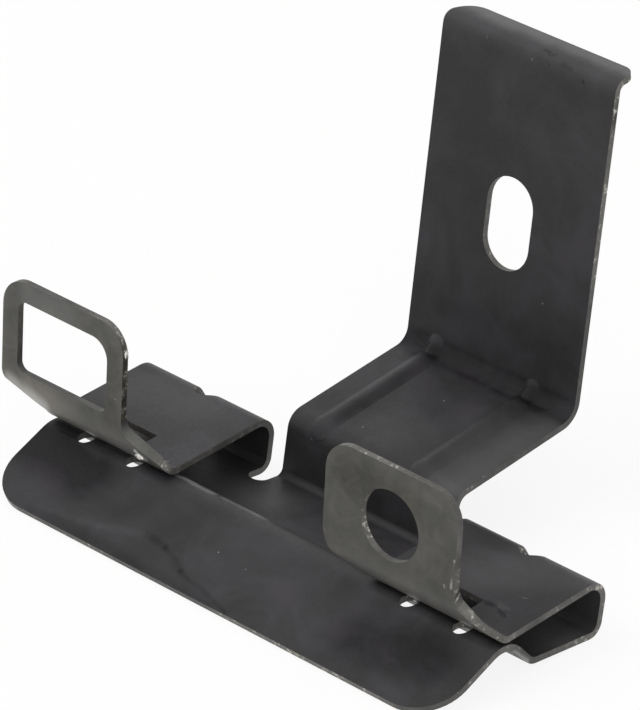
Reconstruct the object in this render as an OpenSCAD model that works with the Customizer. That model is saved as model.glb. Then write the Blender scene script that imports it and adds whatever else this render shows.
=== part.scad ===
// Door glass clip, folded from one blank of thin sheet steel.
// X runs along the base, Y to the back and Z up. All sizes are millimetres.
// Every leg is measured between the corners where its two faces would meet
// if the bends were sharp, on the face that is uppermost on the wing.

/* [Sheet] */
// Thickness of the sheet
sheet = 1; // [0.8:0.05:1.2]
// Length of the base along X
base_len = 84; // [80:0.5:96]

/* [Base] */
// Depth of the sloping front wing
wing_leg = 16.3; // [14:0.1:22]
// Slope of the wing under the level flaps, in degrees
wing_slope = 20.5; // [16:0.5:24]
// Radius of the wing's two front corners
wing_corner = 7; // [3:0.5:10]
// Drop from the crest to the channel floor, along the slope
drop_leg = 7.3; // [7:0.1:9]
// Steepness of that drop, in degrees
drop_slope = 50; // [46:1:56]
// Depth of the channel floor
floor_leg = 12.8; // [11.5:0.1:16]
// Fall of the floor toward the back, in degrees
floor_fall = 9; // [5:0.5:11]
// Inner radius of the crest between wing and channel
crest_r = 3.9; // [3:0.1:4]
// Inner radius at the front of the floor
valley_r = 2; // [1:0.1:3]
// Inner radius at the back of the floor
heel_r = 1.2; // [0.8:0.1:2]

/* [Flaps] */
// Height of the channel's back wall
wall_leg = 7; // [6.5:0.1:9]
// Lean of the back wall toward the back, in degrees
wall_lean = 10.8; // [6:0.1:14]
// Inner radius between back wall and flap
shoulder_r = 2.2; // [1:0.1:2.6]
// Depth of each flap from back wall to tab
flap_leg = 21.3; // [18:0.1:22]
// Inner radius at the foot of each tab
foot_r = 1.6; // [1.2:0.1:2]
// Radius where a tab's right edge runs out into its flap
flare_r = 1.6; // [0.8:0.1:2]
// Radius where a tab's lower edge runs out into its flap
low_r = 2.8; // [1:0.1:3]

/* [Toes] */
// Height of the left flap's raised front edge beside the tab, above the foot corner
left_toe_in = 3.9; // [3:0.1:5]
// Height of that edge at the flap's right end
left_toe_out = 1.5; // [0:0.1:2.5]
// Height of the right flap's raised front edge beside the tab, above the foot corner
right_toe_in = 3.5; // [3:0.1:5]
// Height of that edge at the flap's right end
right_toe_out = -0.3; // [-1:0.1:1.5]
// Radius of the left flap's front corner
left_toe_corner = 1.8; // [0.5:0.1:2.4]
// Radius of the right flap's front corner
right_toe_corner = 0.6; // [0.4:0.1:1.4]

/* [Tabs] */
// Width of each upright tab
tab_w = 23.6; // [18:0.1:28]
// Height of the left tab, with the window
left_tab_leg = 19.8; // [17:0.1:26]
// Height of the right tab, with the round hole
right_tab_leg = 19.1; // [17:0.1:26]
// Distance by which the left tab stands out past its flap's left edge
left_overhang = 9.1; // [2:0.1:11]
// Distance of the right tab's right edge from the end of the base
right_setback = 7.8; // [7:0.1:12]
// Lean of the tabs toward the back, in degrees
tab_lean = 5; // [0:0.5:8]
// Radius of each tab's two top corners
tab_corner = 4.4; // [2:0.1:6]
// Radius of the left tab's lower left corner
left_heel_corner = 1.8; // [1:0.1:3]
// Radius of the right tab's lower left corner
right_heel_corner = 2.8; // [1:0.1:3]
// Height of the left tab's lower edge above its foot corner, beside the flap
left_low_in = 3; // [0.5:0.1:3.2]
// Height of that edge at the tab's left edge
left_low_out = 3.5; // [3.2:0.1:4]
// Height of the right tab's lower edge above its foot corner, beside the flap
right_low_in = 1.3; // [0.5:0.1:2]
// Height of that edge at the tab's left edge
right_low_out = 2.4; // [2:0.1:4]
// Width of the frame round the window
frame_w = 3.05; // [2.5:0.05:5]
// Height of the window
window_h = 11; // [8:0.1:12]
// Radius of the window's upper right corner
window_big_r = 3; // [1:0.1:4]
// Radius of the window's other corners
window_r = 1.4; // [0.8:0.1:3]
// Diameter of the round hole
hole_d = 10.3; // [6:0.1:12]
// Height of the hole's centre above the tab's foot corner
hole_height = 10.4; // [10:0.1:10.8]

/* [Tongue] */
// Width of the centre tongue
tongue_w = 31.3; // [26:0.1:34]
// Shift of the tongue from the middle of the base
tongue_shift = -0.25; // [-1:0.05:1]
// Width of the slit between tongue and flap
slit_w = 3.1; // [2:0.1:4]
// How far the slits cut into the floor
slit_depth = 3.2; // [2.5:0.1:5]
// Height of the riser from the floor to the shelf
riser_leg = 9.3; // [7:0.1:14]
// Inner radius between riser and shelf
brow_r = 1.7; // [1:0.1:2.4]
// Depth of the shelf
shelf_leg = 24; // [20:0.5:34]
// Rise of the shelf toward the back, in degrees
shelf_rise = 3.4; // [0:0.1:8]
// Inner radius between shelf and plate
root_r = 2.6; // [1.6:0.1:3]
// Height of the tall plate
plate_leg = 49.6; // [40:0.1:60]
// Lean of the tall plate toward the back, in degrees
plate_lean = 9.3; // [4:0.1:12]
// Length of the lip that turns back at the top
lip_leg = 4; // [3.6:0.1:8]
// Slope of the lip, in degrees
lip_rise = 5; // [0:1:20]
// Inner radius of the lip
lip_r = 0.9; // [0.6:0.1:1.2]
// Radius of the lip's left corner
lip_left_corner = 4.4; // [1:0.1:6]
// Radius of the lip's right corner
lip_right_corner = 1.8; // [1:0.1:6]

/* [Plate slot] */
// Width of the slot in the tall plate
slot_w = 8.3; // [6:0.1:10]
// Length of that slot
slot_len = 13.8; // [11:0.1:20]
// Height of the slot's centre above the shelf
slot_height = 23.4; // [20:0.1:30]

/* [Reliefs] */
// Length of the slot behind each tab's foot
relief_len = 11; // [6:0.1:13]
// Width of that slot
relief_w = 2.8; // [2:0.1:4]
// Distance from the tab's corner to the slot
relief_gap = 3.9; // [3.6:0.1:5]
// How far the left slot's end stands outside the tab's right edge
left_relief_over = 0.7; // [-1:0.1:2]
// How far the right slot's end stands outside the tab's right edge
right_relief_over = -0.2; // [-1:0.1:2]
// Width of the notch over each flap's back bend
notch_w = 4.2; // [3:0.1:5]
// Length of that notch across the bend
notch_len = 5.2; // [5.2:0.1:8]
// Width of the four small slots over the crest
vent_w = 2.4; // [1.5:0.1:3]
// Length of those slots across the crest
vent_len = 4.9; // [3.2:0.1:5]
// Spacing of the two slots below one flap
vent_pitch = 9.4; // [6:0.1:12]

/* [Beads] */
// Width of the two stiffening beads on the shelf
bead_w = 3.2; // [2.6:0.1:4.6]
// Height of the beads
bead_h = 0.8; // [0.5:0.05:0.9]
// Distance between the two beads
bead_pitch = 18; // [14:0.1:20]
// Shift of the pair from the middle of the tongue
bead_shift = -1.1; // [-2:0.1:2]
// Length of the beads down the riser
bead_tail = 0.3; // [0.3:0.1:1]
// Height of the rounded gusset where a bead meets the plate
gusset_h = 2.6; // [2.2:0.1:3.6]
// Width of that gusset
gusset_w = 2.4; // [2:0.1:3]

/* [Hidden] */
steel = "#3d3d3e";
$fn = 96;
past = 1;
far = 60;
lap = 0.02;
thin = 0.01;
wrap = 0.8;
half = base_len / 2;
tongue_x0 = tongue_shift - tongue_w / 2;
tongue_x1 = tongue_shift + tongue_w / 2;
left_flap_x1 = tongue_x0 - slit_w;
right_flap_x0 = tongue_x1 + slit_w;
left_tab_x0 = -half - left_overhang;
right_tab_x0 = half - right_setback - tab_w;
foot_turn = -90 - tab_lean;

// Headings of the legs, in degrees from +Y toward +Z.
base_turns = [-wing_slope - drop_slope, drop_slope - floor_fall];
heel_turn = floor_fall + 90 - wall_lean;
side_legs = [wing_leg, drop_leg, floor_leg, wall_leg, flap_leg, left_tab_leg];
side_radii = [crest_r, valley_r, heel_r, shoulder_r, foot_r];
side_turns = concat(base_turns, [heel_turn, 90 + wall_lean, foot_turn]);
tongue_legs = [wing_leg, drop_leg, floor_leg, riser_leg, shelf_leg, plate_leg, lip_leg];
tongue_radii = [crest_r, valley_r, heel_r, brow_r, root_r, lip_r];
tongue_turns = concat(base_turns, [
    heel_turn,
    shelf_rise - 90 + wall_lean,
    90 - plate_lean - shelf_rise,
    lip_rise - 90 + plate_lean
]);
side_path = [side_legs, side_radii, side_turns];
tongue_path = [tongue_legs, tongue_radii, tongue_turns];

// A frame is [y, z, heading]; the sheet's upper face passes through it.
function forward(f, d) = [f[0] + d * cos(f[2]), f[1] + d * sin(f[2]), f[2]];
function lifted(f, d) = [f[0] - d * sin(f[2]), f[1] + d * cos(f[2]), f[2]];
function turned(f, a) = [f[0], f[1], f[2] + a];
function arc_r(r, a) = a > 0 ? r : -r - sheet;
function bent(f, r, a) = lifted(turned(lifted(f, arc_r(r, a)), a), -arc_r(r, a));

// Distance from a sharp corner to where its bend begins, and each flat's length.
function setback(p, i) =
    i < 0 || i >= len(p[1]) ? 0 : abs(arc_r(p[1][i], p[2][i])) * tan(abs(p[2][i]) / 2);
function flat_len(p, i) = p[0][i] - setback(p, i - 1) - setback(p, i);

// Frames where leg i's flat begins and where it ends.
function leg_start(p, i) = i == 0 ? front : bent(leg_end(p, i - 1), p[1][i - 1], p[2][i - 1]);
function leg_end(p, i) = forward(leg_start(p, i), flat_len(p, i));

// The wing's front edge and the heel's underside both stand on the floor.
front = [0, 0, wing_slope];
front_low = lifted(front, -sheet);
heel_axis = lifted(leg_end(side_path, 2), heel_r);
heel_dy = heel_axis[0] - front_low[0];
heel_dz = heel_axis[1] - front_low[1];
rest_tilt = asin((heel_r + sheet) / norm([heel_dy, heel_dz])) - atan2(heel_dz, heel_dy);

// Radius of the beads' round section, and how far they run into the root bend.
bead_r = (pow(bead_w / 2, 2) + pow(bead_h, 2)) / (2 * bead_h);
bead_reach = sqrt(bead_h * (2 * root_r - bead_h)) + lap;

// The origin is the middle of the clip's outline, on the floor it stands on.
function resting_y(f) = f[0] * cos(rest_tilt) - f[1] * sin(rest_tilt);
function resting_z(f) = f[0] * sin(rest_tilt) + f[1] * cos(rest_tilt);
lip_low = lifted(leg_end(tongue_path, 6), -sheet);
origin_x = (left_tab_x0 + half) / 2;
origin_y = (resting_y(front) + resting_y(lip_low)) / 2;

module at_frame(f) {
    translate([0, f[0], f[1]]) rotate([f[2], 0, 0]) children();
}

// One flat of sheet, from x0 to x1, drawn in its own frame.
module flat(x0, x1, l) {
    translate([x0, 0, -sheet]) cube([x1 - x0, l, sheet]);
}

// A ring sector with any section that carries on from the frame at f, and starts
// and ends a hair inside its neighbours.
module sweep(f, r, a) {
    at_frame(lifted(f, arc_r(r, a))) rotate([90, 0, 90]) rotate((a > 0 ? -90 : 90 + a) - wrap)
        rotate_extrude(angle = abs(a) + 2 * wrap) children();
}

// Bending draws the sheet a hair thinner and narrower than the flats beside it.
module bend(f, r, a, x0, x1) {
    sweep(f, r, a) translate([r + thin, x0 + thin])
        square([sheet - 2 * thin, x1 - x0 - 2 * thin]);
}

module leg(p, i, x0, x1) {
    at_frame(leg_start(p, i)) flat(x0, x1, flat_len(p, i));
}

// The legs from first to last of a path, with the bends between them.
module strip(p, first, last, x0, x1) {
    for (i = [first:last]) leg(p, i, x0, x1);
    for (i = [first:last - 1]) bend(leg_end(p, i), p[1][i], p[2][i], x0, x1);
}

// Draws in the middle of a bend, at its axis, square to the sheet there.
module mid_bend(f, r, a) {
    at_frame(turned(lifted(f, arc_r(r, a)), a / 2)) children();
}

// A flat shape cut square through the sheet of the frame it is drawn in.
module punch() {
    translate([0, 0, -sheet - past]) linear_extrude(sheet + 2 * past) children();
}

module obround(w, l) {
    for (s = [-1, 1]) translate([0, s * (l - w) / 2]) circle(d = w);
    square([w, l - w], center = true);
}

module flip(sx, sy) {
    mirror([sx < 0 ? 1 : 0, 0]) mirror([0, sy < 0 ? 1 : 0]) children();
}

// What lies outside a round corner of radius r, in the quarter sx, sy.
module corner_waste(x, y, r, sx, sy) {
    translate([x, y]) flip(sx, sy) translate([-r, -r]) difference() {
        square(r + past);
        circle(r);
    }
}

// What lies outside a circle of radius r, between the X axis and the normal of a
// line at angle a. The circle is a hair too big, so it crosses both lines cleanly.
module round_waste(r, a) {
    e = r + past;
    difference() {
        polygon([[0, 0], [e, 0], [e, e], [-e * sin(a), e * cos(a)]]);
        circle(r + thin);
    }
}

// What lies right of the Y axis and above the line from [0, 0] to [run, rise]. The
// sheet below it is rounded by r in the corner at [0, 0] and by end_r at the far end.
module edge_waste(run, rise, r, end_r) {
    a = atan2(rise, run);
    k = (1 + sin(a)) / cos(a);
    difference() {
        polygon([[0, 0], [far, far * rise / run], [far, far], [0, far]]);
        translate([r, k * r]) flip(-1, -1) round_waste(r, a);
    }
    translate([run - end_r, rise - k * end_r]) round_waste(end_r, a);
}

module base_sheet() {
    difference() {
        strip(side_path, 0, 2, -half, half);
        at_frame(front) punch() for (s = [-1, 1]) corner_waste(s * half, 0, wing_corner, s, -1);
        vents();
        at_frame(leg_end(side_path, 2)) punch() {
            slit((tongue_x0 + left_flap_x1) / 2);
            slit((tongue_x1 + right_flap_x0) / 2);
        }
    }
}

module slit(x) {
    translate([x, slit_w / 2 - slit_depth]) circle(d = slit_w);
    translate([x - slit_w / 2, slit_w / 2 - slit_depth]) square([slit_w, slit_depth + past]);
}

// Small slots over the crest, two below the middle of each flap.
module vents() {
    mid_bend(leg_end(side_path, 0), crest_r, base_turns[0]) linear_extrude(crest_r + sheet + past)
        for (x = [(left_flap_x1 - half) / 2, (right_flap_x0 + half) / 2], s = [-1, 1])
            translate([x + s * vent_pitch / 2, 0]) obround(vent_w, vent_len);
}

// Back wall, flap and tab of one side; x0 and x1 are the flap's ends.
module side(x0, x1, tab_x0, tab_leg, slot_over, toe, low) {
    tab_x1 = tab_x0 + tab_w;
    path = [[for (i = [0:5]) i == 5 ? tab_leg : side_legs[i]], side_radii, side_turns];
    foot = leg_end(path, 4);
    difference() {
        union() {
            bend(leg_end(path, 2), heel_r, heel_turn, x0, x1);
            strip(path, 3, 4, x0, x1);
        }
        notch(leg_end(path, 3), (x0 + x1) / 2);
        at_frame(foot) relief(tab_x1 + slot_over);
    }
    difference() {
        union() {
            bend(foot, foot_r, foot_turn, tab_x0, x1);
            leg(path, 5, tab_x0, x1);
        }
        mid_bend(foot, foot_r, foot_turn) linear_extrude(far, center = true) {
            foot_waste(tab_x1, x1 - tab_x1, 1, toe, flare_r);
            foot_waste(x0 + thin, x0 + thin - tab_x0, -1, low, low_r);
        }
        at_frame(leg_start(path, 5)) {
            punch() corner_waste(tab_x0, flat_len(path, 5), tab_corner, -1, 1);
            punch() corner_waste(tab_x1, flat_len(path, 5), tab_corner, 1, 1);
            punch() translate([0, flat_len(path, 5)]) children();
        }
    }
}

// Rectangular slot through the flap, beside the foot of the tab.
module relief(x1) {
    y = setback(side_path, 4) - relief_gap - relief_w;
    punch() translate([x1 - relief_len, y]) square([relief_len, relief_w]);
}

// What was cut from the blank beside the foot bend: beyond a tab's edge, above the
// flap's toe (way 1), or beyond a flap's edge, below the tab (way -1). The sizes in
// edge are its heights above the foot corner near and far, and its end's radius.
module foot_waste(x, run, way, edge, r) {
    slant = cos(foot_turn / 2);
    translate([x, edge[0] * slant]) flip(way, way)
        edge_waste(run, way * (edge[1] - edge[0]) * slant, r, edge[2]);
}

// Notch over the bend between back wall and flap.
module notch(f, x) {
    mid_bend(f, shoulder_r, side_turns[3]) translate([x, 0, -shoulder_r - sheet - past])
        linear_extrude(shoulder_r + sheet + past) obround(notch_w, notch_len);
}

module window() {
    x0 = left_tab_x0 + frame_w;
    x1 = left_tab_x0 + tab_w - frame_w;
    translate([0, -frame_w]) difference() {
        translate([x0, -window_h]) square([x1 - x0, window_h]);
        corner_waste(x1, 0, window_big_r, 1, 1);
        corner_waste(x0, 0, window_r, -1, 1);
        corner_waste(x0, -window_h, window_r, -1, -1);
        corner_waste(x1, -window_h, window_r, 1, -1);
    }
}

// Section of a bead, or of the groove below it, drawn as [height, x]: what of a
// circle of radius r stands higher than low over the sheet's upper face. Pieces that
// meet end to end are sunk by whole laps, so no two of their surfaces coincide.
module bead_section(r, low, sink = 0) {
    intersection() {
        translate([bead_h - bead_r - sink * lap, 0]) circle(r);
        translate([low, -bead_w]) square([bead_w, 2 * bead_w]);
    }
}

module bead_bar(f, l, r, low) {
    at_frame(f) translate([0, l, 0]) rotate([90, 0, 0]) linear_extrude(l)
        mirror([1, -1]) bead_section(r, low, 1);
}

module bead_dome(f, r, low) {
    at_frame(f) rotate_extrude() intersection() {
        mirror([1, -1]) bead_section(r, low, 2);
        translate([0, -far / 2]) square(far);
    }
}

// From a dome on the riser over the brow, then along the shelf for a length l.
module bead(r, low, l) {
    tail = forward(leg_end(tongue_path, 3), -bead_tail);
    bead_dome(tail, r, low);
    bead_bar(tail, bead_tail + lap, r, low);
    sweep(leg_end(tongue_path, 3), brow_r, tongue_turns[3])
        translate([brow_r + sheet, 0]) bead_section(r, low);
    bead_bar(forward(leg_start(tongue_path, 4), -lap), l + lap, r, low);
}

module groove() {
    l = flat_len(tongue_path, 4) - bead_w / 2;
    bead(bead_r - sheet, -sheet - past, l);
    bead_dome(forward(leg_start(tongue_path, 4), l), bead_r - sheet, -sheet - past);
}

// Rounded rib across the corner between shelf and plate.
module gusset() {
    turn = tongue_turns[4];
    corner = -root_r / cos(turn / 2);
    reach = gusset_h * cos(turn / 2) + lap;
    top = corner + gusset_h * sin(turn / 2);
    mid_bend(leg_end(tongue_path, 4), root_r, turn) intersection() {
        rotate([90, 0, 90]) linear_extrude(gusset_w + past, center = true)
            polygon([[-reach, top], [0, corner - lap], [reach, top]]);
        translate([0, 0, top - gusset_w / 2]) rotate([90, 0, 0])
            cylinder(d = gusset_w, h = 2 * reach + past, center = true);
    }
}

module at_beads() {
    for (s = [-1, 1]) translate([tongue_shift + bead_shift + s * bead_pitch / 2, 0, 0]) children();
}

module tongue() {
    plate = leg_start(tongue_path, 5);
    difference() {
        union() {
            bend(leg_end(tongue_path, 2), heel_r, heel_turn, tongue_x0, tongue_x1);
            strip(tongue_path, 3, 6, tongue_x0, tongue_x1);
            at_beads() {
                bead(bead_r, -sheet / 4, flat_len(tongue_path, 4) + bead_reach);
                gusset();
            }
        }
        at_beads() groove();
        at_frame(forward(plate, slot_height - setback(tongue_path, 4))) punch()
            translate([tongue_shift, 0]) obround(slot_w, slot_len);
        at_frame(lifted(leg_start(tongue_path, 6), -lip_r)) punch() {
            corner_waste(tongue_x0, flat_len(tongue_path, 6), lip_left_corner, -1, 1);
            corner_waste(tongue_x1, flat_len(tongue_path, 6), lip_right_corner, 1, 1);
        }
    }
}

module glass_clip() {
    color(steel) translate([-origin_x, -origin_y, -resting_z(front_low)])
        rotate([rest_tilt, 0, 0]) {
        base_sheet();
        side(-half, left_flap_x1, left_tab_x0, left_tab_leg, left_relief_over,
            [left_toe_in, left_toe_out, left_toe_corner],
            [left_low_in, left_low_out, left_heel_corner])
            window();
        side(right_flap_x0, half, right_tab_x0, right_tab_leg, right_relief_over,
            [right_toe_in, right_toe_out, right_toe_corner],
            [right_low_in, right_low_out, right_heel_corner])
            translate([right_tab_x0 + tab_w / 2, hole_height - right_tab_leg])
                circle(d = hole_d);
        tongue();
    }
}

glass_clip();
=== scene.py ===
# Door glass clip, folded from thin sheet steel with a black coat.
import math

import bmesh
import bpy
from mathutils import Matrix, Vector, noise
from mathutils.bvhtree import BVHTree


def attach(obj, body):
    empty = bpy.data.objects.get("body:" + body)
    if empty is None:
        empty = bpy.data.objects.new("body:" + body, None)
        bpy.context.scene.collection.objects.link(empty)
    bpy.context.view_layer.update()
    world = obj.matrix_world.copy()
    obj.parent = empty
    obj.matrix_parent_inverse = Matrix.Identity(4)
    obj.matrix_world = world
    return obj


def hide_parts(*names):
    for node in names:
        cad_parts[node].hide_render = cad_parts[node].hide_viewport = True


mm = 0.001
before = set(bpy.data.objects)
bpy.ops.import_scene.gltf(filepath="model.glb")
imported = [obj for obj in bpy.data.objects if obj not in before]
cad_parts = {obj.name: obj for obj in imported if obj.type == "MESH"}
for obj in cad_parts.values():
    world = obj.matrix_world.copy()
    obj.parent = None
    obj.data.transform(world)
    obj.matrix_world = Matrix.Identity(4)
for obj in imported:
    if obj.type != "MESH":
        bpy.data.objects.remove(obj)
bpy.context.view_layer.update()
scene = bpy.context.scene
scene.view_settings.view_transform = "Standard"
print("frame loaded")

camera = {
    "place": (0.4397632, -0.4844978, 0.3821698),
    "yaw": 42.5882,  # degrees, as are the next two
    "pitch": 61.29236,
    "roll": 1.72869,
    "lens": 277.81,  # long lens, so hardly any perspective
    "sensor": 36,
    "clip": (0.01, 20),
}


def turn(degrees, axis):
    return Matrix.Rotation(math.radians(degrees), 4, axis)


def makeCamera(c):
    data = bpy.data.cameras.new("clipCamera")
    data.lens = c["lens"]
    data.sensor_width = c["sensor"]
    data.clip_start, data.clip_end = c["clip"]
    cam = bpy.data.objects.new("clipCamera", data)
    cam.matrix_world = (Matrix.Translation(c["place"]) @ turn(c["yaw"], "Z")
                        @ turn(c["pitch"], "X") @ turn(c["roll"], "Z"))
    scene.collection.objects.link(cam)
    scene.camera = cam


makeCamera(camera)
print("camera placed")


def linear(hexColour):
    out = []
    for i in (1, 3, 5):
        v = int(hexColour[i:i + 2], 16) / 255
        out.append(v / 12.92 if v <= 0.04045 else ((v + 0.055) / 1.055) ** 2.4)
    return (*out, 1.0)


# Adds one node: settings are its properties, inputs its fixed values by socket,
# and links the sockets that another node's output feeds.
def addNode(tree, kind, settings=None, inputs=None, links=None):
    n = tree.nodes.new(kind)
    for key, value in (settings or {}).items():
        setattr(n, key, value)
    for key, value in (inputs or {}).items():
        n.inputs[key].default_value = value
    for key, (source, output) in (links or {}).items():
        tree.links.new(source.outputs[output], n.inputs[key])
    return n


def startMaterial(name):
    mat = bpy.data.materials.new(name)
    mat.use_nodes = True
    mat.node_tree.nodes.clear()
    return mat, mat.node_tree


def perMetre(sizeMm):  # noise scale that makes features about this many mm across
    return 1 / (sizeMm * mm)


noiseSpan = {"From Min": 0.3, "From Max": 0.7}  # most of a noise lies between these


# Black phosphated and oiled steel: semi-matt and nearly neutral, cloudy where the
# phosphate took unevenly, with a few dust specks. The tabs' fronts are a paler greenish
# grey, with painted floor light making them palest towards the left tab's outer heel.
coat = {
    "dark": "#242424",
    "pale": "#353336",
    "frontGrey": "#4b4b48",
    "frontPaleGrey": "#6f6b64",
    "dust": "#8a8883",
    "blackest": 0.003,  # no stain is darker, in linear colour
    "ior": 1.36,
    "roughness": (0.40, 0.56),
    "cloudMm": 11,
    "cloudLevels": (0.36, 0.66),  # noise between which dark turns to pale
    "smearMm": 4,
    "smearLevels": (0.40, 0.75),
    "smearPaling": 0.45,  # how far a smear takes a tab's front to its paler grey
    "grainMm": 0.45,  # phosphate grain is under 0.05 mm, drawn coarser so that it shows
    "grainHeightMm": 0.010,
    "waveMm": 9,
    "waveHeightMm": 0.05,
    "speckMm": 1.1,
    "speckShare": 0.015,  # of the places where a speck could lie
    "speckRadius": 0.10,  # of speckMm
    "tabFacing": (-0.25, -0.6),  # the normal's y where the fronts begin
    "tabFrontMm": (-19.3, -20.0),  # y where they begin
    "tabFootMm": (6.4, 7.0),  # z above which they take that grey
    "heelMm": (-38.5, -21.0, 9.4),  # middle of the painted floor light
    "heelSpreadMm": 9,
    "heelLightShare": 0.75,
    "wobbleMm": 4,
    "wobbleShiftMm": 1.6,
    "toneGain": 0.16,  # what a mark's tone of 1 adds to the linear colour
}

# Marks left by handling. Their ends, half width and height are in mm, a hollow's height
# is below 0, and tone says how much paler they are.
marks = [
    # the wrinkle in the wing, a low ridge, with painted light on its left half and painted shade on its right
    # half
    {"from": (-27.5, -32.3, 1.5), "to": (-17.2, -30.6, 2.2), "half": 1.0, "tone": 0.04, "height": 0.03},
    {"from": (-17.2, -30.6, 2.2), "to": (-10.2, -28.8, 3.0), "half": 1.1, "tone": 0.05, "height": 0.05},
    {"from": (-10.2, -28.8, 3.0), "to": (-6.2, -29.2, 2.8), "half": 1.2, "tone": -0.07, "height": 0.08},
    {"from": (-6.2, -29.2, 2.8), "to": (-1.6, -30.9, 2.1), "half": 0.9, "tone": -0.05, "height": 0.05},
    {"from": (-1.6, -30.9, 2.1), "to": (9.1, -33.1, 1.1), "half": 0.7, "tone": -0.06, "height": 0.04},
    # paler strokes along the crest
    {"from": (-14.0, -17.9, 6.0), "to": (-8.0, -18.0, 6.1), "half": 1.4, "tone": 0.60, "height": 0.01},
    {"from": (-6.0, -17.8, 6.0), "to": (1.5, -17.9, 6.0), "half": 1.0, "tone": 0.40, "height": 0.01},
    # a bruise on the right flap, two dark lumps and a pale hollow, and a scratch beside it
    {"from": (39.2, -15.2, 8.0), "to": (40.2, -14.8, 8.0), "half": 0.90, "tone": -0.14, "height": 0.20},
    {"from": (41.5, -15.3, 8.0), "to": (43.0, -15.6, 8.0), "half": 0.80, "tone": -0.14, "height": 0.20},
    {"from": (40.2, -14.1, 8.0), "to": (42.0, -14.4, 8.0), "half": 0.90, "tone": 0.12, "height": -0.20},
    {"from": (41.1, -11.0, 8.2), "to": (42.3, -10.6, 8.2), "half": 0.14, "tone": 0.75, "height": 0.02},
    # a bare patch at the left tab's inner foot, and chips beside the right tab's edge
    {"from": (-20.4, -21.0, 8.7), "to": (-18.4, -20.8, 8.1), "half": 0.50, "tone": 2.20, "height": 0.08},
    {"from": (38.4, -20.9, 16.4), "to": (38.4, -20.9, 15.4), "half": 0.35, "tone": 1.90, "height": 0.04},
    {"from": (38.3, -21.0, 13.6), "to": (38.3, -21.0, 12.4), "half": 0.40, "tone": 1.30, "height": 0.04},
    {"from": (37.1, -21.0, 12.6), "to": (37.2, -21.0, 12.1), "half": 0.25, "tone": 1.10, "height": 0.03},
    # small lumps, a pit and a few pale grains at the top of the plate
    {"from": (6.5, 30.2, 62.2), "to": (7.3, 30.1, 62.1), "half": 0.55, "tone": -0.12, "height": 0.05},
    {"from": (7.6, 29.8, 61.9), "to": (8.6, 30.1, 62.1), "half": 0.50, "tone": -0.10, "height": 0.05},
    {"from": (7.6, 29.4, 61.0), "to": (8.0, 29.3, 60.6), "half": 0.45, "tone": -0.14, "height": -0.12},
    {"from": (14.4, 29.2, 60.4), "to": (14.6, 29.2, 60.2), "half": 0.40, "tone": -0.16, "height": 0.10},
    {"from": (14.9, 29.2, 60.2), "to": (15.0, 29.2, 60.1), "half": 0.16, "tone": 0.50, "height": 0.0},
    {"from": (10.2, 29.5, 61.6), "to": (11.8, 29.5, 61.5), "half": 0.80, "tone": -0.07, "height": 0.03},
    {"from": (5.3, 29.2, 60.8), "to": (5.4, 29.2, 60.6), "half": 0.22, "tone": 0.45, "height": 0.04},
    {"from": (-3.3, 29.3, 60.8), "to": (-3.1, 29.3, 60.6), "half": 0.20, "tone": 0.35, "height": 0.04},
]

# Broad painted light and shade, drawn into the coat's colour: shade under the tabs and at the plate's foot,
# light on the flaps, shelf, lip and tab feet.
paintedLightAndStains = [
    # the wing: painted shade under each tab, and a darker band in front of the wrinkle
    {"from": (-40.0, -23.0, 4.5), "to": (-26.0, -25.0, 4.0), "half": 8.0, "tone": -0.17},
    {"from": (28.0, -28.0, 3.5), "to": (40.0, -26.0, 4.0), "half": 8.0, "tone": -0.12},
    {"from": (-27.5, -33.0, 1.2), "to": (6.0, -34.0, 0.9), "half": 2.6, "tone": -0.07},
    # painted light on the flaps' tops and on the floor below them
    {"from": (34.0, -10.0, 8.1), "to": (44.0, 0.0, 8.8), "half": 9.0, "tone": 0.16},
    {"from": (-40.0, -9.0, 8.3), "to": (-24.0, -6.0, 8.5), "half": 9.0, "tone": 0.10},
    {"from": (28.0, -6.0, 1.5), "to": (45.0, -6.0, 1.4), "half": 8.0, "tone": 0.30},
    {"from": (-20.0, -9.5, 1.9), "to": (-5.0, -7.0, 1.5), "half": 6.0, "tone": 0.09},
    # painted light on the shelf
    {"from": (17.5, 2.0, 10.4), "to": (19.0, 18.0, 12.2), "half": 8.0, "tone": 0.24},
    {"from": (10.0, 15.0, 12.0), "to": (16.0, 15.0, 12.0), "half": 6.0, "tone": 0.06},
    {"from": (2.0, 7.0, 10.9), "to": (12.0, 8.0, 10.9), "half": 7.0, "tone": 0.06},
    # painted shade at the plate's foot, and painted light at its lip
    {"from": (-10.0, 28.3, 20.0), "to": (18.0, 28.3, 20.0), "half": 8.0, "tone": -0.05},
    {"from": (-17.0, 23.1, 13.9), "to": (27.0, 23.1, 13.9), "half": 2.8, "tone": -0.17},
    {"from": (-10.0, 33.0, 62.6), "to": (30.0, 33.0, 62.6), "half": 2.6, "tone": 0.50},
    {"from": (-12.0, 30.2, 62.0), "to": (30.0, 30.2, 62.0), "half": 3.0, "tone": 0.10},
    # the left tab: painted light along its foot, at its outer heel and near its top, and painted shade down
    # its inner post and outer side
    {"from": (-45.0, -21.0, 9.0), "to": (-20.0, -21.0, 8.6), "half": 4.0, "tone": 0.18},
    {"from": (-44.5, -21.0, 9.8), "to": (-38.5, -21.0, 8.2), "half": 2.6, "tone": 1.50},
    {"from": (-42.0, -20.9, 24.5), "to": (-34.0, -20.9, 24.5), "half": 4.0, "tone": 0.22},
    {"from": (-25.0, -20.9, 12.0), "to": (-25.0, -20.9, 22.0), "half": 2.5, "tone": -0.12},
    {"from": (-44.4, -21.0, 11.0), "to": (-44.4, -21.0, 25.0), "half": 3.0, "tone": -0.10},
    # the right tab: painted shade on its upper left and down its right part, and painted light along its foot
    {"from": (19.0, -20.7, 21.5), "to": (30.0, -20.7, 21.0), "half": 6.0, "tone": -0.20},
    {"from": (19.0, -21.0, 9.0), "to": (43.0, -21.0, 8.6), "half": 4.0, "tone": 0.16},
    {"from": (36.6, -21.0, 11.0), "to": (36.6, -21.0, 21.0), "half": 3.5, "tone": -0.07},
]


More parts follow.
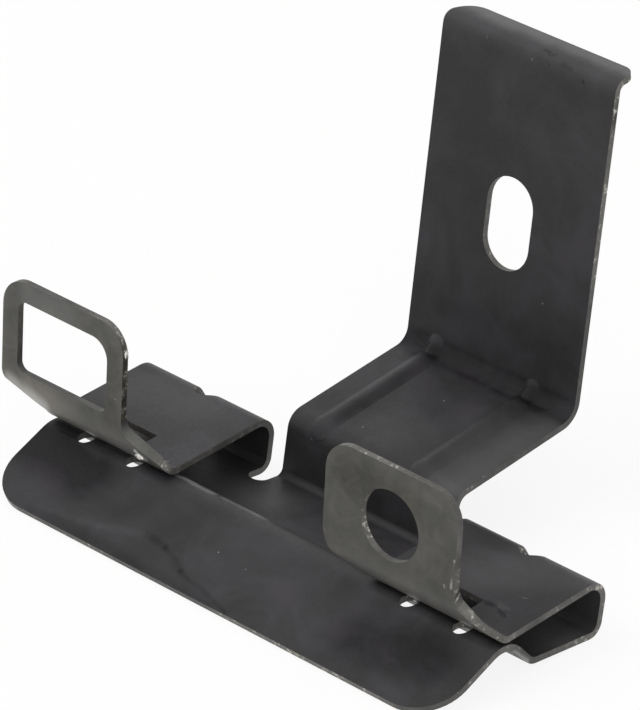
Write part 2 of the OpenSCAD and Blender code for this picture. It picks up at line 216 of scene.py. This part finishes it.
# How much of a mark lies at a place: 1 on the line between its ends, and 0 from its half
# width outwards.
def makeStroke(t, place, m):
    start = Vector(m["from"]) * mm
    way = Vector(m["to"]) * mm - start
    rel = addNode(t, "ShaderNodeVectorMath", {"operation": "SUBTRACT"}, {1: start}, {0: place})
    along = addNode(t, "ShaderNodeVectorMath", {"operation": "DOT_PRODUCT"},
                    {1: way / way.length_squared}, {0: (rel, "Vector")})
    kept = addNode(t, "ShaderNodeClamp", None, None, {"Value": (along, "Value")})
    foot = addNode(t, "ShaderNodeVectorMath", {"operation": "SCALE"}, {0: way}, {"Scale": (kept, "Result")})
    off = addNode(t, "ShaderNodeVectorMath", {"operation": "DISTANCE"}, None,
                  {0: (rel, "Vector"), 1: (foot, "Vector")})
    return addNode(t, "ShaderNodeMapRange", {"interpolation_type": "SMOOTHERSTEP"},
                   {"From Min": m["half"] * mm, "From Max": 0.0}, {"Value": (off, "Value")})


# Adds up the strokes' tone or height.
def sumStrokes(t, strokes, key):
    total = None
    for node, m in strokes:
        total = addNode(t, "ShaderNodeMath", {"operation": "MULTIPLY_ADD"}, {1: m[key], 2: 0.0},
                        {0: (node, "Result"), **({2: (total, "Value")} if total else {})})
    return total


# A colour with the strokes' tone added, kept from going below the darkest.
def stainAndShadeColour(t, colour, strokes, darkest):
    tone = addNode(t, "ShaderNodeMath", {"operation": "MULTIPLY"}, {1: coat["toneGain"]},
                   {0: (sumStrokes(t, strokes, "tone"), "Value")})
    stainedAndShaded = addNode(t, "ShaderNodeVectorMath", {"operation": "ADD"}, None, {0: colour, 1: (tone, "Value")})
    return addNode(t, "ShaderNodeVectorMath", {"operation": "MAXIMUM"}, {1: (darkest, darkest, darkest)},
                   {0: (stainedAndShaded, "Vector")})


# Where the tabs' fronts take their greenish grey: found by their place and by the way they face.
def makeTabMask(t, place, c):
    surface = addNode(t, "ShaderNodeNewGeometry")
    facing = addNode(t, "ShaderNodeSeparateXYZ", None, None, {"Vector": (surface, "Normal")})
    spot = addNode(t, "ShaderNodeSeparateXYZ", None, None, {"Vector": place})
    front = addNode(t, "ShaderNodeMapRange", None,
                    {"From Min": c["tabFacing"][0], "From Max": c["tabFacing"][1]}, {"Value": (facing, "Y")})
    ahead = addNode(t, "ShaderNodeMapRange", None,
                    {"From Min": c["tabFrontMm"][0] * mm, "From Max": c["tabFrontMm"][1] * mm},
                    {"Value": (spot, "Y")})
    above = addNode(t, "ShaderNodeMapRange", None,
                    {"From Min": c["tabFootMm"][0] * mm, "From Max": c["tabFootMm"][1] * mm},
                    {"Value": (spot, "Z")})
    both = addNode(t, "ShaderNodeMath", {"operation": "MULTIPLY"}, None,
                   {0: (front, "Result"), 1: (ahead, "Result")})
    return addNode(t, "ShaderNodeMath", {"operation": "MULTIPLY"}, None,
                   {0: (both, "Value"), 1: (above, "Result")})


# The tabs' fronts' own grey, paler in smears, with painted floor light towards the left tab's outer heel.
def makeTabFrontGrey(t, place, c):
    smear = addNode(t, "ShaderNodeTexNoise", None,
                    {"Scale": perMetre(c["smearMm"]), "Detail": 5, "Roughness": 0.6, "Distortion": 0.8},
                    {"Vector": place})
    # painted floor light, palest at the left tab's outer heel
    heelOff = addNode(t, "ShaderNodeVectorMath", {"operation": "DISTANCE"},
                      {1: Vector(c["heelMm"]) * mm}, {0: place})
    paintedHeelLight = addNode(t, "ShaderNodeMapRange", {"interpolation_type": "SMOOTHERSTEP"},
                       {"From Min": c["heelSpreadMm"] * mm, "From Max": 0.0, "To Max": c["heelLightShare"]},
                       {"Value": (heelOff, "Value")})
    low, high = c["smearLevels"]
    smeared = addNode(t, "ShaderNodeMapRange", None,
                      {"From Min": low, "From Max": high, "To Max": c["smearPaling"]}, {"Value": (smear, "Fac")})
    paler = addNode(t, "ShaderNodeMath", {"operation": "ADD", "use_clamp": True}, None,
                    {0: (paintedHeelLight, "Result"), 1: (smeared, "Result")})
    return addNode(t, "ShaderNodeMix", {"data_type": "RGBA"},
                   {"A": linear(c["frontGrey"]), "B": linear(c["frontPaleGrey"])}, {"Factor": (paler, "Value")})


# The place, wobbled a little so that no mark on it is straight.
def makeWobble(t, place, c):
    wobble = addNode(t, "ShaderNodeTexNoise", None, {"Scale": perMetre(c["wobbleMm"]), "Detail": 1.5},
                     {"Vector": place})
    centred = addNode(t, "ShaderNodeVectorMath", {"operation": "SUBTRACT"}, {1: (0.5, 0.5, 0.5)},
                      {0: (wobble, "Color")})
    shift = addNode(t, "ShaderNodeVectorMath", {"operation": "SCALE"}, {"Scale": c["wobbleShiftMm"] * mm},
                    {0: (centred, "Vector")})
    return addNode(t, "ShaderNodeVectorMath", {"operation": "ADD"}, None,
                   {0: place, 1: (shift, "Vector")})


# Dust: a small round speck in a few of the cells.
def makeDust(t, place, c):
    speck = addNode(t, "ShaderNodeTexVoronoi", None, {"Scale": perMetre(c["speckMm"])}, {"Vector": place})
    few = addNode(t, "ShaderNodeSeparateColor", None, None, {"Color": (speck, "Color")})
    chosen = addNode(t, "ShaderNodeMath", {"operation": "GREATER_THAN"}, {1: 1 - c["speckShare"]},
                     {0: (few, "Red")})
    near = addNode(t, "ShaderNodeMath", {"operation": "LESS_THAN"}, {1: c["speckRadius"]},
                   {0: (speck, "Distance")})
    return addNode(t, "ShaderNodeMath", {"operation": "MULTIPLY"}, None,
                   {0: (chosen, "Value"), 1: (near, "Value")})


def makeCoat(c):
    mat, t = startMaterial("phosphatedBlackSteel")
    place = (addNode(t, "ShaderNodeTexCoord"), "Object")
    cloud = addNode(t, "ShaderNodeTexNoise", None,
                    {"Scale": perMetre(c["cloudMm"]), "Detail": 6, "Roughness": 0.62, "Distortion": 0.4},
                    {"Vector": place})
    low, high = c["cloudLevels"]
    clouded = addNode(t, "ShaderNodeMapRange", None, {"From Min": low, "From Max": high},
                      {"Value": (cloud, "Fac")})
    tone = addNode(t, "ShaderNodeMix", {"data_type": "RGBA"},
                   {"A": linear(c["dark"]), "B": linear(c["pale"])}, {"Factor": (clouded, "Result")})
    onTab = makeTabMask(t, place, c)
    frontGrey = makeTabFrontGrey(t, place, c)
    withTabFronts = addNode(t, "ShaderNodeMix", {"data_type": "RGBA"}, None,
                   {"Factor": (onTab, "Value"), "A": (tone, "Result"), "B": (frontGrey, "Result")})

    bent = makeWobble(t, place, c)
    markStrokes = [(makeStroke(t, (bent, "Vector"), m), m) for m in marks]
    # the broad painted light and shade on the coat
    paintedShadingStrokes = [(makeStroke(t, (bent, "Vector"), m), m) for m in paintedLightAndStains]
    markedAndShaded = stainAndShadeColour(t, (withTabFronts, "Result"), markStrokes + paintedShadingStrokes, c["blackest"])
    markHeight = sumStrokes(t, markStrokes, "height")
    dust = makeDust(t, place, c)
    colour = addNode(t, "ShaderNodeMix", {"data_type": "RGBA"}, {"B": linear(c["dust"])},
                     {"Factor": (dust, "Value"), "A": (markedAndShaded, "Vector")})

    grain = addNode(t, "ShaderNodeTexNoise", None,
                    {"Scale": perMetre(c["grainMm"]), "Detail": 3, "Roughness": 0.6}, {"Vector": place})
    smooth, rough = c["roughness"]
    gloss = addNode(t, "ShaderNodeMapRange", None,
                    {**noiseSpan, "To Min": smooth, "To Max": rough},
                    {"Value": (grain, "Fac")})
    wave = addNode(t, "ShaderNodeTexNoise", None,
                   {"Scale": perMetre(c["waveMm"]), "Detail": 2, "Roughness": 0.5}, {"Vector": place})
    waveBump = addNode(t, "ShaderNodeBump", None,
                       {"Strength": 1.0, "Distance": c["waveHeightMm"] * mm}, {"Height": (wave, "Fac")})
    markBump = addNode(t, "ShaderNodeBump", None, {"Strength": 1.0, "Distance": mm},
                       {"Height": (markHeight, "Value"), "Normal": (waveBump, "Normal")})
    grainBump = addNode(t, "ShaderNodeBump", None,
                        {"Strength": 1.0, "Distance": c["grainHeightMm"] * mm},
                        {"Height": (grain, "Fac"), "Normal": (markBump, "Normal")})
    shader = addNode(t, "ShaderNodeBsdfPrincipled", None, {"IOR": c["ior"]},
                     {"Base Color": (colour, "Result"), "Roughness": (gloss, "Result"),
                      "Normal": (grainBump, "Normal")})
    addNode(t, "ShaderNodeOutputMaterial", None, None, {"Surface": (shader, "BSDF")})
    return mat


# Sheared steel under a thin, broken coat: torn grey, darker in stretches, and rubbed
# to bright specks of bare metal along the corners.
cutEdge = {
    "name": "shearedSteelEdge",
    "dark": "#353432",
    "coated": "#615f5b",
    "bare": "#b9b6ad",
    "darkest": 0.012,  # in linear colour
    "stretchMm": 13,
    "stretchLevels": (0.38, 0.60),  # noise between which dark turns to coated
    "patchMm": 0.9,
    "mottle": (0.65, 1.35),  # how the patches darken and lighten the coat
    "bareFrom": 0.62,  # noise level above which the metal is bare: higher is less
    "bareSoft": 0.06,
    "bareLean": 0.12,  # how much more is bare where a stretch is pale
    "tornMm": 0.04,
    "roughness": 0.5,
    # the first stretch is painted shade down the left tab's edge that faces +x; the others are darker and
    # paler stretches of the edge
    "paintedLightAndStains": [
        {"from": (-23.0, -20.5, 11.0), "to": (-23.0, -20.5, 27.0), "half": 1.8, "tone": -0.45},
        {"from": (46.5, -17.6, 4.4), "to": (46.5, -14.9, 2.0), "half": 1.0, "tone": 1.60},
        {"from": (20.0, 32.4, 61.4), "to": (20.0, 29.6, 57.0), "half": 2.0, "tone": -0.60},
        {"from": (27.0, 2.0, 9.5), "to": (27.0, 20.0, 12.0), "half": 2.5, "tone": 0.50},
    ],
}
# The rounded corners: the edge's recipe in much paler colours, a painted highlight along each corner, with
# more of it rubbed to bare metal.
cutCorner = {
    **cutEdge,
    "name": "wornCornerHighlight",
    "dark": "#7a7873",
    "coated": "#c6c4bd",
    "bare": "#eeebe3",
    "patchMm": 0.65,
    "bareFrom": 0.475,
    "roughness": 0.38,
    # painted highlight along the left tab's top corner, and paler stretches at the shelf's right side, the
    # lip's right end, the right tab's chips and the crest's end
    "paintedLightAndStains": [
        {"from": (-40.0, -21.0, 28.0), "to": (-27.0, -21.0, 28.0), "half": 1.5, "tone": 0.80},
        {"from": (27.0, 0.0, 10.0), "to": (27.0, 20.0, 12.8), "half": 2.5, "tone": 0.90},
        {"from": (20.0, 33.2, 62.8), "to": (20.0, 30.4, 62.0), "half": 1.3, "tone": 3.00},
        {"from": (20.0, 30.2, 61.8), "to": (20.0, 28.9, 58.6), "half": 1.3, "tone": 2.60},
        {"from": (38.5, -21.0, 17.0), "to": (38.5, -21.0, 11.0), "half": 0.9, "tone": 1.60},
        {"from": (46.5, -19.0, 6.0), "to": (46.5, -12.0, 1.0), "half": 1.5, "tone": 1.20},
    ],
}


def makeCut(c):
    mat, t = startMaterial(c["name"])
    place = (addNode(t, "ShaderNodeTexCoord"), "Object")
    stretch = addNode(t, "ShaderNodeTexNoise", None,
                      {"Scale": perMetre(c["stretchMm"]), "Detail": 3, "Roughness": 0.6}, {"Vector": place})
    patch = addNode(t, "ShaderNodeTexNoise", None,
                    {"Scale": perMetre(c["patchMm"]), "Detail": 5, "Roughness": 0.7}, {"Vector": place})
    low, high = c["stretchLevels"]
    coated = addNode(t, "ShaderNodeMapRange", None, {"From Min": low, "From Max": high},
                     {"Value": (stretch, "Fac")})
    base = addNode(t, "ShaderNodeMix", {"data_type": "RGBA"},
                   {"A": linear(c["dark"]), "B": linear(c["coated"])}, {"Factor": (coated, "Result")})
    darker, lighter = c["mottle"]
    mottled = addNode(t, "ShaderNodeMapRange", None,
                      {**noiseSpan, "To Min": darker, "To Max": lighter},
                      {"Value": (patch, "Fac")})
    scaled = addNode(t, "ShaderNodeVectorMath", {"operation": "SCALE"}, None,
                     {0: (base, "Result"), "Scale": (mottled, "Result")})
    # the edge's painted shade and highlights, and its darker and paler stretches
    strokes = [(makeStroke(t, place, m), m) for m in c["paintedLightAndStains"]]
    stainedAndShaded = stainAndShadeColour(t, (scaled, "Vector"), strokes, c["darkest"])
    lean = addNode(t, "ShaderNodeMath", {"operation": "MULTIPLY_ADD"},
                   {1: c["bareLean"], 2: -c["bareLean"] / 2}, {0: (coated, "Result")})
    level = addNode(t, "ShaderNodeMath", {"operation": "ADD"}, None,
                    {0: (patch, "Fac"), 1: (lean, "Value")})
    bare = addNode(t, "ShaderNodeMapRange", None,
                   {"From Min": c["bareFrom"], "From Max": c["bareFrom"] + c["bareSoft"]},
                   {"Value": (level, "Value")})
    colour = addNode(t, "ShaderNodeMix", {"data_type": "RGBA"}, {"B": linear(c["bare"])},
                     {"Factor": (bare, "Result"), "A": (stainedAndShaded, "Vector")})
    bump = addNode(t, "ShaderNodeBump", None, {"Strength": 1.0, "Distance": c["tornMm"] * mm},
                   {"Height": (patch, "Fac")})
    shader = addNode(t, "ShaderNodeBsdfPrincipled", None, {"Roughness": c["roughness"]},
                     {"Base Color": (colour, "Result"), "Metallic": (bare, "Result"),
                      "Normal": (bump, "Normal")})
    addNode(t, "ShaderNodeOutputMaterial", None, None, {"Surface": (shader, "BSDF")})
    return mat


coatMaterial = makeCoat(coat)
cutMaterial = makeCut(cutEdge)
cornerMaterial = makeCut(cutCorner)
print("materials made")


def makeCadTree():
    bm = bmesh.new()
    bm.from_mesh(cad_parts["glass_clip"].data)
    tree = BVHTree.FromBMesh(bm)
    bm.free()
    return tree


cadTree = makeCadTree()


def addPiece(name, mesh):
    obj = bpy.data.objects.new(name, mesh)
    scene.collection.objects.link(obj)
    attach(obj, "root")
    return obj


# The press blended each bead into the shelf: a soft skin over the CAD bead.
bead = {
    "across": {"leftBead": -5.8, "rightBead": 12.2},  # middle of each bead, along x
    "plainMm": 4.4,  # how far beside the bead the shelf is flat
    "halfWidthMm": 3.4,  # of the skin
    "cadHalfMm": 1.75,  # half of the CAD bead's width, and a little more
    "cadTallMm": 2.2,  # more than the CAD bead's height
    "leastMm": 0.03,  # lower than this is plain shelf
    "leanMm": 0.3,  # how far from straight above the path a point of the bead may be
    "underMm": 0.02,  # the bead is pressed this far below the plain shelf
    "seenMm": 0.02,  # the skin is drawn where it is higher than this
    "stepMm": 0.2,
    "softSteps": 3,
    "fullness": 1.12,  # makes up for what softening takes from the bead
    "liftMm": 0.012,
    "sinkMm": 0.06,  # the skin's rim lies this far below the shelf
    "probeMm": 2.5,
    "reachMm": 4,
    "riserFromMm": (-10, 7.5),  # y and z of a point in front of the riser
    "shelfMm": (6, 14),  # two places on the shelf, along y
    "aboveMm": 30,  # z of a point above every place on the shelf
    "browMm": 2.7,  # radius of the brow
    "browOutMm": 6,
    "browDeg": (222, 97),
    "browSteps": 70,
    "eyeMm": (14, 24),  # y and z of a point above the shelf, in front of the plate
    "eyeDeg": (-133, -12),
    "eyeSteps": 400,
    "nextMm": 0.01,  # a point of the path lies at least this far past the last
    "waySteps": 3,  # the path's direction is taken over this many steps each way
    "fadeMm": (-0.2, 3.2),  # y over which the bead dies out towards the brow
}


# Directions across x, at even steps from one angle to the other.
def sweep(degrees, steps):
    first, last = degrees
    angles = [math.radians(first + (last - first) * i / (steps - 1)) for i in range(steps)]
    return [Vector((0, math.cos(a), math.sin(a))) for a in angles]


# Walks the shelf's top at one x, from the riser's brow over the shelf and up the plate.
# Gives points at even steps, and the way out of the sheet at each.
def walkShelf(x, b):
    def drop(y):
        return cadTree.ray_cast(Vector((x, y, b["aboveMm"])) * mm, Vector((0, 0, -1)))[0].z / mm

    riser = cadTree.ray_cast(Vector((x, *b["riserFromMm"])) * mm, Vector((0, 1, 0)))[0].y / mm
    low, high = b["shelfMm"]
    slope = (drop(high) - drop(low)) / (high - low)
    browY = riser + b["browMm"]
    browZ = drop(low) + slope * (browY - low) - b["browMm"] * math.sqrt(1 + slope * slope)
    brow = Vector((x, browY, browZ))
    path = []
    for out in sweep(b["browDeg"], b["browSteps"]):
        hit = cadTree.ray_cast((brow + b["browOutMm"] * out) * mm, -out)[0]
        path.append(Vector((0, hit.y / mm, hit.z / mm)))
    eye = Vector((x, *b["eyeMm"])) * mm
    for way in sweep(b["eyeDeg"], b["eyeSteps"]):
        hit = cadTree.ray_cast(eye, way)[0]
        p = Vector((0, hit.y / mm, hit.z / mm))
        if p.y > path[-1].y + b["nextMm"] or p.z > path[-1].z + b["nextMm"]:
            path.append(p)
    even = [path[0]]
    for p in path[1:]:
        while (p - even[-1]).length > b["stepMm"]:
            even.append(even[-1] + (p - even[-1]).normalized() * b["stepMm"])
    ups = []
    for i in range(len(even)):
        way = even[min(i + b["waySteps"], len(even) - 1)] - even[max(i - b["waySteps"], 0)]
        ups.append(Vector((0, -way.z, way.y)).normalized())
    return even, ups


# Presses the CAD bead in the visual sheet down to the plain shelf, under the skin.
def flattenBead(bm, x, b):
    path, ups = walkShelf(x - b["plainMm"], b)
    for v in bm.verts:
        spot = v.co / mm
        if abs(spot.x - x) > b["cadHalfMm"]:
            continue
        flat = Vector((0, spot.y, spot.z))
        i = min(range(len(path)), key=lambda k: (flat - path[k]).length_squared)
        height = (flat - path[i]).dot(ups[i])
        straightAbove = (flat - path[i]).length < height + b["leanMm"]
        if b["leastMm"] < height < b["cadTallMm"] and straightAbove:
            v.co -= (height + b["underMm"]) * ups[i] * mm


# How high the CAD bead stands over the plain shelf: a row of heights at each step.
def measureBead(x, path, ups, offsets, b):
    rows = []
    start, end = b["fadeMm"]
    for p, up in zip(path, ups):
        share = min(max((p.y - start) / (end - start), 0.0), 1.0)
        row = []
        for off in offsets:
            above = Vector((x + off, p.y, p.z)) + b["probeMm"] * up
            hit = cadTree.ray_cast(above * mm, -up, b["reachMm"] * mm)
            height = max(b["probeMm"] - hit[3] / mm, 0.0) if hit[0] else 0.0
            row.append(height * share * share * (3 - 2 * share) if height > b["leastMm"] else 0.0)
        rows.append(row)
    return rows


def soften(rows, times):
    for _ in range(times):
        rows = [[(rows[max(i - 1, 0)][j] + 2 * v + rows[min(i + 1, len(rows) - 1)][j]) / 4
                 for j, v in enumerate(row)] for i, row in enumerate(rows)]
        rows = [[(row[max(j - 1, 0)] + 2 * v + row[min(j + 1, len(row) - 1)]) / 4
                 for j, v in enumerate(row)] for row in rows]
    return rows


def higher(rows, others, gain=1.0):
    return [[max(v, gain * w) for v, w in zip(row, other)] for row, other in zip(rows, others)]


def makeBead(name, x, b):
    path, ups = walkShelf(x - b["plainMm"], b)
    count = int(b["halfWidthMm"] / b["stepMm"])
    offsets = [i * b["stepMm"] for i in range(-count, count + 1)]
    rows = measureBead(x, path, ups, offsets, b)
    rounded = higher(rows, soften(rows, b["softSteps"]), b["fullness"])
    heights = higher(rows, soften(rounded, 1))
    verts = []
    for i, row in enumerate(heights):
        for j, h in enumerate(row):
            rim = i in (0, len(rows) - 1) or j in (0, len(row) - 1) or h < b["seenMm"]
            rise = -b["sinkMm"] if rim else h + b["liftMm"]
            verts.append((Vector((x + offsets[j], path[i].y, path[i].z)) + rise * ups[i]) * mm)
    wide = len(offsets)
    faces = []
    for i in range(len(rows) - 1):
        for j in range(wide - 1):
            if max(*heights[i][j:j + 2], *heights[i + 1][j:j + 2]) >= b["seenMm"]:
                k = i * wide + j
                faces.append((k, k + wide, k + wide + 1, k + 1))
    mesh = bpy.data.meshes.new(name)
    mesh.from_pydata(verts, [], faces)
    bm = bmesh.new()
    bm.from_mesh(mesh)
    bmesh.ops.delete(bm, geom=[v for v in bm.verts if not v.link_faces], context="VERTS")
    bmesh.ops.recalc_face_normals(bm, faces=bm.faces)
    if sum(f.normal.z for f in bm.faces) < 0:
        bmesh.ops.reverse_faces(bm, faces=bm.faces)
    for f in bm.faces:
        f.smooth = True
    bm.to_mesh(mesh)
    bm.free()
    mesh.materials.append(coatMaterial)
    addPiece(name, mesh)
    print(name, len(faces), "faces, tallest", round(max(max(r) for r in heights), 2), "mm")


# The left tab's outer heel: nearly straight down into the bend, with a small toe.
heel = {
    "lineMm": (-43.0, 9.63),  # a point of its lower edge, x and z
    "slope": -0.267,
    "spanMm": (-44.6, -37.4),  # x between which the edge is laid on that line
    "bandMm": 1.15,  # how far above the line points are brought down to it
    "topMm": 11.2,  # z above which nothing moves
    "frontMm": -20.6,  # y between the cut edge's front and back
    "backRiseMm": 1.05,  # the back of the cut edge lies this much higher
    "faceMm": -21.12,  # y of the front face at the foot
    "bendFromMm": 9.45,  # z below which the foot curls towards the bend
    "curl": 0.18,
    "tabBackMm": -19.5,  # y behind which nothing moves
    "footMm": 8.0,  # z below which nothing moves
    "sideMm": -46.55,
    "toeMm": (-44.9, 12.45),  # x beyond which and z below which the toe is
    "toeScale": 0.6,
}


def straightenHeel(bm, h):
    for v in bm.verts:
        x, y, z = v.co / mm
        if y > h["tabBackMm"] or x > h["spanMm"][1] or z < h["footMm"]:
            continue
        front = y < h["frontMm"]
        rise = 0.0 if front else h["backRiseMm"]
        line = h["lineMm"][1] + h["slope"] * (x - h["lineMm"][0]) + rise
        if x < h["toeMm"][0] and z < h["toeMm"][1] + rise:
            toeZ = h["lineMm"][1] + h["slope"] * (h["sideMm"] - h["lineMm"][0]) + rise
            v.co.x = (h["sideMm"] + h["toeScale"] * (x - h["sideMm"])) * mm
            v.co.z = (toeZ + h["toeScale"] * (z - toeZ)) * mm
        elif x > h["spanMm"][0] and line < z < line + h["bandMm"] and z < h["topMm"]:
            v.co.z = line * mm
            if front:
                v.co.y = (h["faceMm"] + h["curl"] * max(0.0, h["bendFromMm"] - line) ** 2) * mm


# The whole folded sheet, with its corners rounded and drawn pale as a painted highlight, and its cut edges
# sorted out.
sheet = {
    "weldMm": 0.02,  # closes the hair steps where bends meet flats
    "flatDeg": 1,  # faces that turn less than this are joined
    "sharpDeg": 35,  # corners that turn more than this are rounded
    "cornerMm": 0.19,
    "cutMm": 1.45,  # there is more steel than this behind a cut face, and less behind others
    "insideMm": 0.01,  # depth below the face from which that is measured
    "flatWeight": 80,  # of large faces over small ones in the shading
}


def isCutFace(tree, face, middle):
    hit = tree.ray_cast(middle - face.normal * sheet["insideMm"] * mm, -face.normal)
    return hit[0] is None or hit[3] > sheet["cutMm"] * mm


# A point on each face that isn't in one of its holes: the middle of its largest triangle.
def findMiddles(bm):
    best = {}
    for tri in bm.calc_loop_triangles():
        a, b, c = (loop.vert.co for loop in tri)
        area = (b - a).cross(c - a).length
        face = tri[0].face
        if area > best.get(face, (0.0, None))[0]:
            best[face] = (area, (a + b + c) / 3)
    return {face: middle for face, (area, middle) in best.items()}


def joinFlats(bm, s):
    bmesh.ops.dissolve_limit(bm, angle_limit=math.radians(s["flatDeg"]), verts=bm.verts, edges=bm.edges)


def makeSheet(s):
    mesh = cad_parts["glass_clip"].data.copy()
    bm = bmesh.new()
    bm.from_mesh(mesh)
    bmesh.ops.remove_doubles(bm, verts=bm.verts, dist=s["weldMm"] * mm)
    bmesh.ops.dissolve_degenerate(bm, edges=bm.edges, dist=s["weldMm"] * mm)
    joinFlats(bm, s)
    for x in bead["across"].values():
        flattenBead(bm, x, bead)
    joinFlats(bm, s)
    straightenHeel(bm, heel)
    bm.normal_update()
    tree = BVHTree.FromBMesh(bm)
    middles = findMiddles(bm)
    for face in bm.faces:
        middle = middles.get(face, face.calc_center_median())
        face.material_index = 1 if isCutFace(tree, face, middle) else 0
    sharp = [e for e in bm.edges if len(e.link_faces) == 2
             and e.calc_face_angle(0) > math.radians(s["sharpDeg"])]
    bmesh.ops.bevel(bm, geom=sharp, offset=s["cornerMm"] * mm, offset_type="OFFSET", segments=2,
                    profile=0.5, affect="EDGES", clamp_overlap=True, material=2)
    for face in bm.faces:
        face.smooth = True
    mesh.materials.clear()  # sets every face's material to the first, so it comes before to_mesh
    for m in (coatMaterial, cutMaterial, cornerMaterial):
        mesh.materials.append(m)
    bm.to_mesh(mesh)
    bm.free()
    obj = addPiece("foldedSheet", mesh)
    weighted = obj.modifiers.new("flatFaces", "WEIGHTED_NORMAL")
    weighted.weight = s["flatWeight"]
    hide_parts("glass_clip")
    print("sheet made:", len(mesh.polygons), "faces")


makeSheet(sheet)

# Burrs left standing on the left tab's inner edge and at the foot of its bend.
burrs = {
    "tabBurr": {"place": (-23.08, -20.0, 22.3), "sizeMm": (0.28, 0.4, 0.75), "lump": 0.35, "knobs": 2.1},
    "heelBurr": {"place": (-19.3, -21.05, 8.35), "sizeMm": (0.8, 0.22, 0.4), "lump": 0.35, "knobs": 2.1},
}


def makeBurr(name, b):
    bm = bmesh.new()
    bmesh.ops.create_icosphere(bm, subdivisions=3, radius=1.0)
    for v in bm.verts:
        lump = 1 + b["lump"] * noise.noise(v.co * b["knobs"] + Vector(b["place"]))
        v.co = Vector([(p + lump * c * size) * mm for p, c, size in zip(b["place"], v.co, b["sizeMm"])])
    for f in bm.faces:
        f.smooth = True
    mesh = bpy.data.meshes.new(name)
    bm.to_mesh(mesh)
    bm.free()
    mesh.materials.append(cornerMaterial)
    addPiece(name, mesh)


for name, b in burrs.items():
    makeBurr(name, b)
for name, x in bead["across"].items():
    makeBead(name, x, bead)
print("burrs and beads made")


# 1 for what the camera or a glossy surface sees, 0 for what only lights the clip.
def makeSeen(t):
    ray = addNode(t, "ShaderNodeLightPath")
    return addNode(t, "ShaderNodeMath", {"operation": "MAXIMUM"}, None,
                   {0: (ray, "Is Camera Ray"), 1: (ray, "Is Glossy Ray")})


# The table is white card: matt, and nearly as white to the camera as the room, with
# only a faint shadow, as under a light tent.
floor = {
    "colour": "#f4f4f2",
    "half": 3.0,  # metres from its middle to each edge
    "glow": 0.88,  # share of plain white that the camera and glossy surfaces see
}


def makeFloor(f):
    h = f["half"]
    mesh = bpy.data.meshes.new("whiteCard")
    mesh.from_pydata([(-h, -h, 0), (h, -h, 0), (h, h, 0), (-h, h, 0)], [], [(0, 1, 2, 3)])
    obj = bpy.data.objects.new("whiteCard", mesh)
    scene.collection.objects.link(obj)
    mat, t = startMaterial("mattWhiteCard")
    card = addNode(t, "ShaderNodeBsdfDiffuse", None, {"Color": linear(f["colour"])})
    white = addNode(t, "ShaderNodeEmission", None, {"Color": (1, 1, 1, 1), "Strength": 1.0})
    part = addNode(t, "ShaderNodeMath", {"operation": "MULTIPLY"}, {1: f["glow"]},
                   {0: (makeSeen(t), "Value")})
    both = addNode(t, "ShaderNodeMixShader", None, None,
                   {0: (part, "Value"), 1: (card, "BSDF"), 2: (white, "Emission")})
    addNode(t, "ShaderNodeOutputMaterial", None, None, {"Surface": (both, "Shader")})
    mesh.materials.append(mat)


# Large soft lamps in a pale room: the main one over the left shoulder, weaker ones to the
# right and above. Places and sizes are in metres.
lamps = {
    "key": {"place": (-0.7, -0.5, 1.2), "size": 0.9, "power": 8.0},
    "fill": {"place": (1.0, -0.7, 0.7), "size": 0.9, "power": 4.0},
    "top": {"place": (0.0, 0.3, 1.5), "size": 1.2, "power": 4.0},
}
room = {"colour": "#ffffff", "light": 0.55}


def makeLamp(name, lamp):
    data = bpy.data.lights.new(name + "Lamp", "AREA")
    data.size = lamp["size"]
    data.energy = lamp["power"]
    obj = bpy.data.objects.new(name + "Lamp", data)
    obj.visible_glossy = False  # the lamps stand behind the white of the room
    obj.location = lamp["place"]
    obj.rotation_mode = "QUATERNION"
    obj.rotation_quaternion = (-Vector(lamp["place"])).to_track_quat("-Z", "Y")
    scene.collection.objects.link(obj)


def makeRoom(r):
    world = bpy.data.worlds.new("paleRoom")
    scene.world = world
    world.use_nodes = True
    t = world.node_tree
    t.nodes.clear()
    level = addNode(t, "ShaderNodeMapRange", None, {"To Min": r["light"], "To Max": 1.0},
                    {"Value": (makeSeen(t), "Value")})
    sky = addNode(t, "ShaderNodeBackground", None, {"Color": linear(r["colour"])},
                  {"Strength": (level, "Result")})
    addNode(t, "ShaderNodeOutputWorld", None, None, {"Surface": (sky, "Background")})


makeFloor(floor)
for name, lamp in lamps.items():
    makeLamp(name, lamp)
makeRoom(room)
print("studio made")
